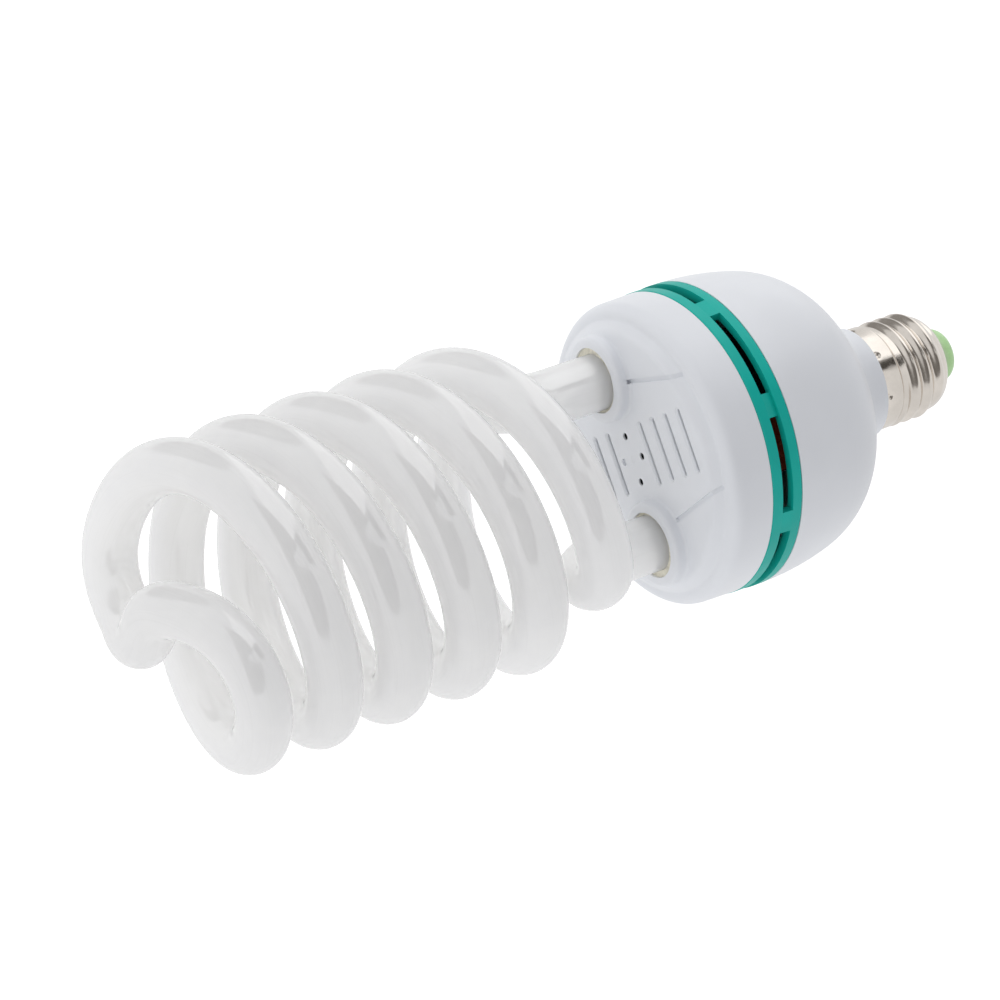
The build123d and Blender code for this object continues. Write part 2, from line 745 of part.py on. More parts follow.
bobbin_bore = (choke_centre + 2 * bobbin_gap, choke_depth + 2 * bobbin_gap)
bobbin_body = (bobbin_bore[0] + 2 * bobbin_wall, bobbin_bore[1] + 2 * bobbin_wall)
bobbin_flange = (2 * (window_side - bobbin_gap), bobbin_bore[1] + 2 * winding_depth + 2 * bobbin_wall)
bobbin_height = window_height - 2 * bobbin_gap
flange_middle = (bobbin_height - bobbin_wall) / 2
with BuildPart(board_plane) as choke_bobbin:
    with Locations((*choke_place, choke_middle)):
        Box(*bobbin_body, bobbin_height)
        with Locations((0, 0, flange_middle), (0, 0, -flange_middle)):
            Box(*bobbin_flange, bobbin_wall)
        Box(*bobbin_bore, bobbin_height, mode=Mode.SUBTRACT)
finish(choke_bobbin, "choke_bobbin")

with BuildPart(board_plane) as choke_winding:
    with BuildSketch(board_plane.offset(choke_middle - bobbin_height / 2 + bobbin_wall + bobbin_gap)):
        with Locations(choke_place):
            RectangleRounded(bobbin_flange[0] - winding_edge, bobbin_flange[1] - winding_edge, winding_edge)
            Rectangle(bobbin_body[0] + bobbin_gap, bobbin_body[1] + bobbin_gap, mode=Mode.SUBTRACT)
    extrude(amount=bobbin_height - 2 * bobbin_wall - 2 * bobbin_gap)
finish(choke_winding, "choke_winding")

# Drive transformer: a small ring core with wire turns through it
with BuildPart(board_plane) as drive_core:
    with BuildSketch(board_plane.offset(body_lift + 2 * drive_wire)):
        with Locations(drive_place):
            Circle(drive_ring_radius)
            Circle(drive_ring_hole, mode=Mode.SUBTRACT)
    extrude(amount=drive_ring_height)
finish(drive_core, "drive_core")

with BuildPart(board_plane) as drive_windings:
    ring_middle = (drive_ring_radius + drive_ring_hole) / 2
    turn_inside = (drive_ring_radius - drive_ring_hole + 2 * bobbin_gap, drive_ring_height + bobbin_gap)
    with Locations((*drive_place, body_lift + 2 * drive_wire + drive_ring_height / 2)):
        with PolarLocations(ring_middle, drive_turns):
            Box(turn_inside[0] + 2 * drive_wire, 2 * drive_wire, turn_inside[1] + 2 * drive_wire)
            Box(turn_inside[0], 2 * drive_wire, turn_inside[1], mode=Mode.SUBTRACT)
finish(drive_windings, "drive_windings")

# Power transistors: a moulded body, a drilled metal tab and three legs each
transistor_names = ("power_transistor_a", "power_transistor_b")
for transistor_name, transistor_place in zip(transistor_names, transistor_places):
    width, depth, height = transistor_size
    tab_thickness, tab_height = transistor_tab
    with BuildPart(board_plane) as power_transistor:
        with Locations((*transistor_place, transistor_lift)):
            Box(width, depth, height, align=upright)
            with Locations(((width - tab_thickness) / 2, 0, height)):
                Box(tab_thickness, depth, tab_height, align=upright)
                with Locations((0, 0, tab_height / 2)):
                    Cylinder(transistor_hole_radius, width, rotation=(0, 90, 0), mode=Mode.SUBTRACT)
        with Locations(*[(*transistor_place, 0)]):
            with GridLocations(0, transistor_pin_pitch, 1, 3):
                with Locations((0, 0, -board_thickness - pin_stub)):
                    Cylinder(pin_radius, board_thickness + pin_stub + transistor_lift, align=upright)
    finish(power_transistor, transistor_name)

# Film capacitors: dipped boxes with rounded edges
for film_name, film_size, film_place, film_pins in (
    ("resonance_capacitor", resonance_size, resonance_place, resonance_pins),
    ("coupling_capacitor", coupling_size, coupling_place, coupling_pins),
):
    with BuildPart(board_plane) as film_capacitor:
        with Locations((*film_place, body_lift)):
            Box(*film_size, align=upright)
        fillet(film_capacitor.edges(), film_edge)
        pins(film_pins)
    finish(film_capacitor, film_name)

# Line filter: a drum core with its winding
with BuildPart(board_plane) as filter_core:
    with Locations((*filter_place, body_lift)):
        Cylinder(filter_core_radius, filter_height, align=upright)
        Cylinder(filter_flange_radius, filter_flange, align=upright)
        with Locations((0, 0, filter_height - filter_flange)):
            Cylinder(filter_flange_radius, filter_flange, align=upright)
    pins(filter_pins)
finish(filter_core, "filter_core")

with BuildPart(board_plane) as filter_winding:
    with BuildSketch(board_plane.offset(body_lift + filter_flange + bobbin_gap)):
        with Locations(filter_place):
            Circle(filter_winding_radius)
            Circle(filter_core_radius + bobbin_gap, mode=Mode.SUBTRACT)
    extrude(amount=filter_height - 2 * filter_flange - 2 * bobbin_gap)
finish(filter_winding, "filter_winding")

# Axial components
diode = axial_component(diode_radius, diode_length)
with BuildPart(board_plane) as rectifier_diodes:
    with Locations(*[Location((*spot, 0), (0, 0, 90)) for spot in diode_places]):
        add(diode)
finish(rectifier_diodes, "rectifier_diodes")

fuse = axial_component(fuse_radius, fuse_length)
with BuildPart(board_plane) as fuse_resistor:
    with Locations(Location((*fuse_place, 0), (0, 0, 90))):
        add(fuse)
finish(fuse_resistor, "fuse_resistor")

trigger = axial_component(trigger_radius, trigger_length)
with BuildPart(board_plane) as trigger_diode:
    with Locations((*trigger_place, 0)):
        add(trigger)
finish(trigger_diode, "trigger_diode")

resistor = axial_component(resistor_radius, resistor_length)
with BuildPart(board_plane) as base_resistors:
    with Locations(*[(*spot, 0) for spot in resistor_places]):
        add(resistor)
finish(base_resistors, "base_resistors")

# Start thermistor: a dipped disc on two wires
with BuildPart(board_plane) as start_thermistor:
    with Locations((*thermistor_place, thermistor_lift + thermistor_radius)):
        Cylinder(thermistor_radius, thermistor_thickness, rotation=(90, 0, 0))
    fillet(start_thermistor.edges().filter_by(GeomType.CIRCLE), thermistor_edge)
    thermistor_pin_length = board_thickness + pin_stub + thermistor_lift + thermistor_radius / 2
    with Locations(*[(u, v, -board_thickness - pin_stub) for u, v in thermistor_pins]):
        Cylinder(pin_radius, thermistor_pin_length, align=upright)
finish(start_thermistor, "start_thermistor")

# Square posts on the board's front face, and the tube's wires that run to them
with BuildPart() as wire_posts:
    with Locations((0, 0, board_front_z + seat_clearance)):
        with GridLocations(2 * wire_post_reach[0], 2 * wire_post_reach[1], 2, 2):
            Box(wire_post_side, wire_post_side, wire_post_height, align=upright)
finish(wire_posts, "wire_posts")

run_z = leg_foot_z - filament_drop
post_side_x = wire_post_reach[0] - wire_post_side / 2 - filament_radius - seat_clearance
post_top_z = board_front_z + wire_post_height
with BuildPart() as tube_leads:
    for x_side in (-1, 1):
        for y_side in (-1, 1):
            add(
                wire(
                    filament_radius,
                    filament_radius * 2,
                    (x_side * leg_reach, y_side * filament_half, leg_foot_z - seat_clearance),
                    (x_side * leg_reach, y_side * filament_half, run_z),
                    (x_side * post_side_x, y_side * wire_post_reach[1], run_z),
                    (x_side * post_side_x, y_side * wire_post_reach[1], post_top_z),
                )
            )
finish(tube_leads, "tube_leads")

# Leads from the board to the end contact and to the shell
with BuildPart() as live_lead:
    add(
        wire(
            cap_lead_radius,
            cap_lead_bend,
            (cap_lead_half, 0, board_rear_z - seat_clearance),
            (cap_lead_half, 0, live_lead_turns[0]),
            (0, 0, live_lead_turns[1]),
            (0, 0, solder_top + seat_clearance),
        )
    )
finish(live_lead, "live_lead")

with BuildPart() as neutral_lead:
    shell_bore = root_radius - shell_wall
    add(
        wire(
            cap_lead_radius,
            cap_lead_bend,
            (-cap_lead_half, 0, board_rear_z - seat_clearance),
            (-cap_lead_half, 0, neutral_lead_turns[0]),
            (-neutral_lead_inset, 0, neutral_lead_turns[1]),
            (cap_lead_radius - shell_bore, 0, neutral_foot_z),
        )
    )
finish(neutral_lead, "neutral_lead")
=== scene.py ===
"""Looks of a spiral fluorescent studio lamp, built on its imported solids.

Sizes are in millimetres, and meshes and shader coordinates are in metres, in the lamp's own frame:
the origin is on the end contact's face, and Z runs along the axis to the tip of the spiral.
"""

from __future__ import annotations

import json
import logging
from dataclasses import dataclass
from enum import Enum
from functools import reduce

import bpy
import numpy as np
from mathutils import Matrix, Vector

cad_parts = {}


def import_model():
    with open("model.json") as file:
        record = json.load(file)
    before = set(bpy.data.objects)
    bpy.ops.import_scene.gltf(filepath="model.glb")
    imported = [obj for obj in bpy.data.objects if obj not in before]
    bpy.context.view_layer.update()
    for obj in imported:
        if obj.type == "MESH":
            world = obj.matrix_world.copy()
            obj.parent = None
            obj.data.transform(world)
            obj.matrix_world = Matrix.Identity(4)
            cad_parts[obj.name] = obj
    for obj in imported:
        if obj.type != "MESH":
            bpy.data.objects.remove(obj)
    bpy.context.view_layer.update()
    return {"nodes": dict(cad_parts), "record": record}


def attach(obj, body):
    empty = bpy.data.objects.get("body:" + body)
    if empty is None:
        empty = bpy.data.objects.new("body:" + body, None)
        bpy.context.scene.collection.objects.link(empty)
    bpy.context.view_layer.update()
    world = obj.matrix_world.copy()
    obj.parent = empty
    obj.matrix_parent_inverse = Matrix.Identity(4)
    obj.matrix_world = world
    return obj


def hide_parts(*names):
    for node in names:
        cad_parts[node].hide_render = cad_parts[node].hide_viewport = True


LOG = logging.getLogger("studio_lamp")
MM = 0.001
FULL_TURN = 2 * np.pi
Colour = tuple[float, float, float]
Point = tuple[float, float, float]
Range = tuple[float, float]


class Slot(str, Enum):
    """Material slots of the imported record."""

    GLASS = "phosphor_glass"
    WHITE = "white_plastic"
    TEAL = "teal_plastic"
    SHELL = "plated_shell"
    INSULATOR = "green_insulator"
    CONTACT = "contact_metal"
    SOLDER = "solder"
    CEMENT = "cement"
    BOARD = "board_laminate"
    SLEEVE = "capacitor_sleeve"
    FERRITE = "ferrite"
    BOBBIN = "bobbin_plastic"
    COPPER = "copper_wire"
    MOULDED = "moulded_black"
    FILM = "film_red"
    ENAMEL = "resistor_enamel"
    TINNED = "tinned_wire"
    RED_LEAD = "lead_sleeve_red"
    BLUE_LEAD = "lead_sleeve_blue"


class Way(Enum):
    """Directions of the picture, in the lamp's frame."""

    RIGHT = (0.3261, 0.4567, -0.8277)
    UP = (-0.9453, 0.1575, -0.2855)
    TOWARD = (0.0, 0.8755, 0.4831)


def picture_way(right: float, up: float, toward: float) -> Vector:
    """Turn a direction in the picture into one in the lamp's frame.

    Args:
        right: Share to the right of the picture.
        up: Share to the top of the picture.
        toward: Share towards the camera.

    Returns:
        The unit direction in the lamp's frame.
    """
    total = Vector((0.0, 0.0, 0.0))
    for way, share in zip(Way, (right, up, toward)):
        total += Vector(way.value) * share
    return total.normalized()


class Wire:
    """A shader value that takes part in Python expressions."""

    def __init__(self, shader: Shader, socket: bpy.types.NodeSocket) -> None:
        """Keep an output socket with the node maker that it belongs to."""
        self.shader = shader
        self.socket = socket

    def __sub__(self, other: Wire | float) -> Wire:
        """Difference."""
        return self.shader.maths("SUBTRACT", self, other)

    def __rsub__(self, other: float) -> Wire:
        """Difference from a number."""
        return self.shader.maths("SUBTRACT", other, self)

    def __mul__(self, other: Wire | float) -> Wire:
        """Product."""
        return self.shader.maths("MULTIPLY", self, other)

    __rmul__ = __mul__

    def __abs__(self) -> Wire:
        """Value without its sign."""
        return self.shader.maths("ABSOLUTE", self, 0.0)

    def at_least(self, other: Wire | float) -> Wire:
        """Larger of this value and another one."""
        return self.shader.maths("MAXIMUM", self, other)

    def spread(self, low: float, high: float, to_low: float = 0.0, to_high: float = 1.0) -> Wire:
        """Map a range smoothly onto another one.

        Args:
            low: Value that becomes to_low.
            high: Value that becomes to_high.
            to_low: New value at low.
            to_high: New value at high.

        Returns:
            The mapped value, clamped to the new range.
        """
        old_ends = {"Value": self, "From Min": low, "From Max": high}
        new_ends = {"To Min": to_low, "To Max": to_high}
        settings = {"interpolation_type": "SMOOTHSTEP"}
        return self.shader.value("ShaderNodeMapRange", settings, old_ends | new_ends)

    def fall(self, low: float, high: float) -> Wire:
        """One up to the low value, falling smoothly to nought at the high one."""
        return self.spread(low, high, 1.0, 0.0)


Value = Wire | float | tuple


class Shader:
    """Maker of the nodes of one material or world."""

    # Numbers of the colour sockets of a Mix node, whose names repeat for each type of data
    MIX_SHARE, MIX_FIRST, MIX_SECOND, MIX_RESULT = 0, 6, 7, 2

    def __init__(self, owner: bpy.types.Material | bpy.types.World) -> None:
        """Start with an empty tree.

        Args:
            owner: The material or world that the tree is for.
        """
        owner.use_nodes = True
        self.tree = owner.node_tree
        self.tree.nodes.clear()

    def node(
        self,
        kind: str,
        settings: dict[str, object] | None = None,
        sockets: dict[str | int, Value] | None = None,
    ) -> bpy.types.Node:
        """Make one node.

        Args:
            kind: The node's type name.
            settings: Attributes of the node, set first.
            sockets: Values or links of its inputs, by name or number.

        Returns:
            The new node.
        """
        made = self.tree.nodes.new(kind)
        for name, setting in (settings or {}).items():
            setattr(made, name, setting)
        for name, value in (sockets or {}).items():
            if isinstance(value, Wire):
                self.tree.links.new(value.socket, made.inputs[name])
            else:
                made.inputs[name].default_value = value
        return made

    def value(
        self,
        kind: str,
        settings: dict[str, object] | None = None,
        sockets: dict[str | int, Value] | None = None,
        output: str | int = 0,
    ) -> Wire:
        """Make one node and take one of its outputs.

        Args:
            kind: The node's type name.
            settings: Attributes of the node.
            sockets: Values or links of its inputs.
            output: Name or number of the output.

        Returns:
            The output as a wire.
        """
        return Wire(self, self.node(kind, settings, sockets).outputs[output])

    def maths(self, operation: str, first: Wire | float, second: Wire | float) -> Wire:
        """One step of arithmetic on two values."""
        return self.value("ShaderNodeMath", {"operation": operation}, {0: first, 1: second})

    def mix(self, share: Wire, first: Wire | Colour, second: Wire | Colour) -> Wire:
        """Blend two colours.

        Args:
            share: How much of the second colour.
            first: First colour.
            second: Second colour.

        Returns:
            The blended colour.
        """
        sockets = {self.MIX_SHARE: share}
        for number, colour in ((self.MIX_FIRST, first), (self.MIX_SECOND, second)):
            sockets[number] = colour if isinstance(colour, Wire) else (*colour, 1.0)
        return self.value("ShaderNodeMix", {"data_type": "RGBA"}, sockets, self.MIX_RESULT)

    def place(self) -> Wire:
        """Object coordinates, which are the lamp's own frame."""
        return self.value("ShaderNodeTexCoord", output="Object")

    def height(self) -> Wire:
        """Height along the lamp's axis, in metres."""
        return self.value("ShaderNodeSeparateXYZ", sockets={"Vector": self.place()}, output="Z")

    def off_axis(self, middle: Point = (0.0, 0.0, 0.0)) -> Wire:
        """Distance from a line along the lamp's axis, in metres.

        Args:
            middle: The line's place, at a height of nought.

        Returns:
            The distance.
        """
        steps = {0: self.place(), 1: (1.0, 1.0, 0.0), 2: tuple(-part for part in middle)}
        flat = self.value("ShaderNodeVectorMath", {"operation": "MULTIPLY_ADD"}, steps)
        return self.value("ShaderNodeVectorMath", {"operation": "LENGTH"}, {0: flat}, "Value")

    def attribute(self, name: str) -> Wire:
        """A number stored on the mesh."""
        return self.value("ShaderNodeAttribute", {"attribute_name": name}, output="Fac")

    def noise(self, scale: float, detail: float = 3.0, where: Wire | None = None) -> Wire:
        """Cloudy variation.

        Args:
            scale: Clouds per unit of the coordinates.
            detail: Levels of finer clouds.
            where: Coordinates, or the lamp's own frame in metres.

        Returns:
            A value near one half.
        """
        sockets = {"Vector": where or self.place(), "Scale": scale, "Detail": detail}
        return self.value("ShaderNodeTexNoise", sockets=sockets)

    def bump(
        self, relief: Wire, strength: float, distance: float, base: Wire | None = None
    ) -> Wire:
        """Small relief.

        Args:
            relief: The relief's height, from nought to one.
            strength: Share of the relief that shows.
            distance: Height of one unit, in millimetres.
            base: Normal that the relief is added to.

        Returns:
            The turned normal.
        """
        sockets = {"Height": relief, "Strength": strength, "Distance": distance * MM}
        if base is not None:
            sockets["Normal"] = base
        return self.value("ShaderNodeBump", sockets=sockets)

    def surface(self, sockets: dict[str, Value]) -> None:
        """Close a material's tree with one surface of the given values and links."""
        self.close(self.node("ShaderNodeBsdfPrincipled", sockets=sockets))

    def close(self, body: bpy.types.Node, kind: str = "ShaderNodeOutputMaterial") -> None:
        """Show a node's first output on the material or the world."""
        self.node(kind, sockets={"Surface": Wire(self, body.outputs[0])})


@dataclass(frozen=True)
class Finish:
    """Surface of one material slot: its colour and gloss, with clouds in both and a fine grain."""

    colour: Colour
    roughness: float
    metallic: float = 0.0
    ior: float = 1.5
    subsurface: float = 0.0
    subsurface_reach: float = 0.0
    mottle: float = 0.03
    mottle_scale: float = 60.0
    cloud_edges: Range = (0.3, 0.7)
    rough_spread: float = 0.05
    rough_least: float = 0.02
    rough_finer: float = 3.0
    grain: float = 0.04
    grain_scale: float = 2500.0
    grain_height: float = 0.2

    def plain(self) -> dict[str, Value]:
        """Values that are the same all over the surface.

        Returns:
            The values, by socket name.
        """
        return {
            "Base Color": (*self.colour, 1.0),
            "Roughness": self.roughness,
            "Metallic": self.metallic,
            "IOR": self.ior,
            "Subsurface Weight": self.subsurface,
            "Subsurface Radius": (1.0, 1.0, 1.0),
            "Subsurface Scale": self.subsurface_reach * MM,
        }

    def clouded(self, shader: Shader) -> Wire:
        """Colour that drifts between a shade and a tint.

        Args:
            shader: The material's node maker.

        Returns:
            The colour.
        """
        shade = tuple(channel * (1 - self.mottle) for channel in self.colour)
        tint = tuple(min(1.0, channel * (1 + self.mottle)) for channel in self.colour)
        return shader.mix(shader.noise(self.mottle_scale).spread(*self.cloud_edges), shade, tint)

    def vary(self, shader: Shader) -> dict[str, Wire]:
        """Cloudy colour, uneven gloss and fine grain.

        Args:
            shader: The material's node maker.

        Returns:
            The values that vary over the surface, by socket name.
        """
        low = max(self.rough_least, self.roughness - self.rough_spread)
        high = self.roughness + self.rough_spread
        gloss = shader.noise(self.mottle_scale * self.rough_finer)
        grain = shader.noise(self.grain_scale)
        return {
            "Base Color": self.clouded(shader),
            "Roughness": gloss.spread(*self.cloud_edges, low, high),
            "Normal": shader.bump(grain, self.grain, self.grain_height),
        }


@dataclass(frozen=True)
class GlassFinish(Finish):
    """Coated glass: warmer towards the lamp's axis, pale in the legs, with drawn lines along it."""

    inside: Colour = (0.99485, 0.985, 0.950225)
    inside_lean: Range = (-0.2, 0.9)
    inside_share: float = 0.8
    legs: Colour = (0.995, 0.995, 0.985)
    legs_top_m: Range = (0.118, 0.128)
    line: Colour = (0.62, 0.61, 0.58)
    line_scale: float = 14.0
    line_detail: float = 2.0
    line_edges: Range = (0.52, 0.74)
    line_share: float = 0.06
    line_gloss_edges: Range = (0.35, 0.7)

    def vary(self, shader: Shader) -> dict[str, Wire]:
        """Tints of the inner side and the legs, and faint lines that follow the tube.

        Args:
            shader: The material's node maker.

        Returns:
            The values that vary over the surface, by socket name.
        """
        inward = shader.attribute("inward").spread(*self.inside_lean, 0.0, self.inside_share)
        colour = shader.mix(inward, self.clouded(shader), self.inside)
        colour = shader.mix(shader.height().fall(*self.legs_top_m), colour, self.legs)
        labels = {"X": "ring_up", "Y": "ring_out", "Z": "run"}
        along_tube = {axis: shader.attribute(label) for axis, label in labels.items()}
        where = shader.value("ShaderNodeCombineXYZ", sockets=along_tube)
        drawn = shader.noise(self.line_scale, self.line_detail, where)
        lines = drawn.spread(*self.line_edges, 0.0, self.line_share)
        return {
            "Base Color": shader.mix(lines, colour, self.line),
            "Roughness": drawn.spread(*self.line_gloss_edges, self.rough_least, self.roughness),
        }


@dataclass(frozen=True)
class MouldedFinish(Finish):
    """Moulded plastic with a faint gate mark on the raised face, and painted shade inside its vent
    holes.
    """

    gate_radius_m: float = 0.0010
    gate_width_m: float = 0.0003
    gate_above_m: Range = (0.090, 0.092)
    gate_strength: float = 0.35
    gate_height: float = 0.12
    holes_m: tuple[Point, ...] = ((0.0057, 0.0, 0.0), (-0.0057, 0.0, 0.0), (0.0, 0.0043, 0.0))
    hole_edge_m: Range = (0.0009, 0.0010)
    hole_floor_m: Range = (0.0885, 0.0890)
    hole_top_m: Range = (0.0934, 0.0936)
    # Painted shade: a near-black colour for the walls deep inside the vent holes
    hole_shade_colour: Colour = (0.006, 0.008, 0.01)

    def vary(self, shader: Shader) -> dict[str, Wire]:
        """The common variation, with the gate mark as a low ring and painted shade inside the
        holes.

        Args:
            shader: The material's node maker.

        Returns:
            The values that vary over the surface, by socket name.
        """
        wires = super().vary(shader)
        height = shader.height()
        gate = abs(shader.off_axis() - self.gate_radius_m).fall(0.0, self.gate_width_m)
        gate = gate * height.spread(*self.gate_above_m)
        # Painted shade: between the holes' floor and the face, the walls round each vent hole take
        # the near-black colour
        depth = height.spread(*self.hole_floor_m) * height.fall(*self.hole_top_m)
        hole_shade_spots = [shader.off_axis(middle).fall(*self.hole_edge_m) for middle in self.holes_m]
        inside = depth * reduce(Wire.at_least, hole_shade_spots)
        return wires | {
            "Base Color": shader.mix(inside, wires["Base Color"], self.hole_shade_colour),
            "Normal": shader.bump(gate, self.gate_strength, self.gate_height, wires["Normal"]),
        }


@dataclass(frozen=True)
class InsulatorFinish(Finish):
    """Green moulding that pales where it enters the shell."""

    edge: Colour = (0.70, 0.80, 0.62)
    edge_rise_m: Range = (0.0026, 0.0042)
    edge_share: float = 0.35

    def vary(self, shader: Shader) -> dict[str, Wire]:
        """The common variation, with a paler colour towards the shell.

        Args:
            shader: The material's node maker.

        Returns:
            The values that vary over the surface, by socket name.
        """
        wires = super().vary(shader)
        pale = shader.height().spread(*self.edge_rise_m, 0.0, self.edge_share)
        return wires | {"Base Color": shader.mix(pale, wires["Base Color"], self.edge)}


class Palette:
    """All the materials, one per slot."""

    FINISHES: dict[Slot, Finish] = {
        Slot.GLASS: GlassFinish(
            (0.985, 0.985, 0.995), 0.035, ior=2.0, subsurface=0.72, subsurface_reach=100.0
        ),
        Slot.WHITE: MouldedFinish(
            (0.85, 0.87, 0.91), 0.36, mottle=0.012, grain=0.03, grain_scale=3500
        ),
        Slot.TEAL: Finish(
            (0.004, 0.47, 0.40), 0.42, ior=1.35, mottle=0.06, grain=0.05, grain_scale=3000
        ),
        Slot.SHELL: Finish(
            (0.74, 0.69, 0.635), 0.20, metallic=1.0, mottle=0.06, mottle_scale=140, grain=0.02
        ),
        Slot.INSULATOR: InsulatorFinish((0.50, 0.80, 0.38), 0.28, mottle=0.10, mottle_scale=120),
        Slot.CONTACT: Finish(
            (0.72, 0.66, 0.52), 0.28, metallic=1.0, mottle=0.12, mottle_scale=300
        ),
        Slot.SOLDER: Finish(
            (0.55, 0.55, 0.56), 0.42, metallic=1.0, mottle=0.2, mottle_scale=500
        ),
        Slot.CEMENT: Finish(
            (0.80, 0.77, 0.66), 0.85, mottle=0.12, mottle_scale=700, grain=0.5, grain_scale=1800
        ),
        Slot.BOARD: Finish((0.36, 0.20, 0.07), 0.6, mottle=0.15, mottle_scale=200),
        Slot.SLEEVE: Finish((0.02, 0.02, 0.028), 0.28, mottle=0.15, mottle_scale=100),
        Slot.FERRITE: Finish(
            (0.035, 0.035, 0.04), 0.62, mottle=0.25, mottle_scale=400, grain=0.2
        ),
        Slot.BOBBIN: Finish((0.72, 0.69, 0.58), 0.5, mottle=0.08, mottle_scale=200),
        Slot.COPPER: Finish(
            (0.62, 0.25, 0.09), 0.32, metallic=0.85, mottle=0.15, mottle_scale=800, grain=0.3
        ),
        Slot.MOULDED: Finish(
            (0.022, 0.022, 0.024), 0.55, mottle=0.2, mottle_scale=400, grain=0.15
        ),
        Slot.FILM: Finish((0.42, 0.06, 0.025), 0.25, mottle=0.15, mottle_scale=200),
        Slot.ENAMEL: Finish((0.46, 0.34, 0.17), 0.4, mottle=0.12, mottle_scale=300),
        Slot.TINNED: Finish((0.66, 0.66, 0.65), 0.3, metallic=1.0, mottle=0.12, mottle_scale=600),
        Slot.RED_LEAD: Finish((0.46, 0.03, 0.03), 0.42, mottle=0.1, mottle_scale=200),
        Slot.BLUE_LEAD: Finish((0.03, 0.08, 0.36), 0.42, mottle=0.1, mottle_scale=200),
    }

    def __init__(self) -> None:
        """Make every material."""
        self.materials: dict[Slot, bpy.types.Material] = {}
        for slot, finish in self.FINISHES.items():
            self.materials[slot] = bpy.data.materials.new(slot.value)
            shader = Shader(self.materials[slot])
            shader.surface(finish.plain() | finish.vary(shader))

    def dress(self, piece: bpy.types.Object, slot: Slot) -> None:
        """Give a piece the material of its slot and no other."""
        piece.data.materials.clear()
        piece.data.materials.append(self.materials[slot])

    def finish_piece(self, piece: bpy.types.Object, slot: Slot, *nodes: str) -> None:
        """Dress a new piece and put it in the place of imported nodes.

        Args:
            piece: The piece.
            slot: Its slot.
            nodes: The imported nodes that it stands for.
        """
        self.dress(piece, slot)
        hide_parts(*nodes)
        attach(piece, "root")
        faces = len(piece.data.polygons)
        LOG.info("%s stands for %s: %d faces", piece.name, ", ".join(nodes), faces)


def grid_faces(rows: int, columns: int, closed: bool = False) -> list[list[int]]:
    """Quads of a grid of points whose columns run round and join, with a face over each open end.

    Args:
        rows: Number of rows.
        columns: Points in each row.
        closed: Whether the last row joins the first one, so that no end is open.

    Returns:
        The point numbers of each face.
    """
    across = np.arange(columns)
    following = (across + 1) % columns
    start = (np.arange(rows if closed else rows - 1) * columns)[:, None]
    above = (start + columns) % (rows * columns)
    corners = [start + across, start + following, above + following, above + across]
    quads = np.stack(corners, -1).reshape(-1, 4).tolist()
    if closed:
        return quads
    return quads + [across[::-1].tolist(), (across + (rows - 1) * columns).tolist()]


def mesh_piece(
    name: str,
    points: np.ndarray,
    faces: list[list[int]],
    attributes: dict[str, np.ndarray] | None = None,
) -> bpy.types.Object:
    """Make a smooth mesh piece from whole arrays.

    Args:
        name: Name of the piece.
        points: Points in millimetres, one row each.
        faces: Point numbers of each face.
        attributes: Numbers per point to store on the mesh.

    Returns:
        The new object, linked to the scene.
    """
    mesh = bpy.data.meshes.new(name)
    mesh.from_pydata(points.reshape(-1, 3) * MM, [], faces)
    mesh.shade_smooth()
    for label, values in (attributes or {}).items():
        layer = mesh.attributes.new(label, "FLOAT", "POINT")
        layer.data.foreach_set("value", np.ascontiguousarray(values, np.float32).ravel())
    piece = bpy.data.objects.new(name, mesh)
    bpy.context.scene.collection.objects.link(piece)
    return piece


def bezier(handles: list[np.ndarray], count: int) -> np.ndarray:
    """Points along a cubic curve, weighted by the four Bernstein terms.

    Args:
        handles: Start, two handles and end.
        count: Number of points.

    Returns:
        The points, one row each.
    """
    t = np.linspace(0, 1, count)[:, None]
    first, second, third, last = handles
    return (
        (1 - t) ** 3 * first
        + 3 * t * (1 - t) ** 2 * second
        + 3 * t**2 * (1 - t) * third
        + t**3 * last
    )


def unit(vectors: np.ndarray) -> np.ndarray:
    """The same directions along the last axis, each of length one."""
    return vectors / np.linalg.norm(vectors, axis=-1, keepdims=True)


def from_axis(points: np.ndarray) -> np.ndarray:
    """Unit directions from the lamp's axis to points, and along X for a point on the axis."""
    return unit(points * [1, 1, 0] + [1e-6, 0, 0])


def polar(radius: float, angle: float, height: float) -> np.ndarray:
    """Point at a radius and an angle in degrees about the lamp's axis, at a height."""
    turn = np.radians(angle)
    return np.array([radius * np.cos(turn), radius * np.sin(turn), height])


def smooth_step(values: np.ndarray, low: float, high: float) -> np.ndarray:
    """Rise from nought at low to one at high, level at both ends."""
    share = np.clip((values - low) / (high - low), 0, 1)
    return share * share * (3 - 2 * share)


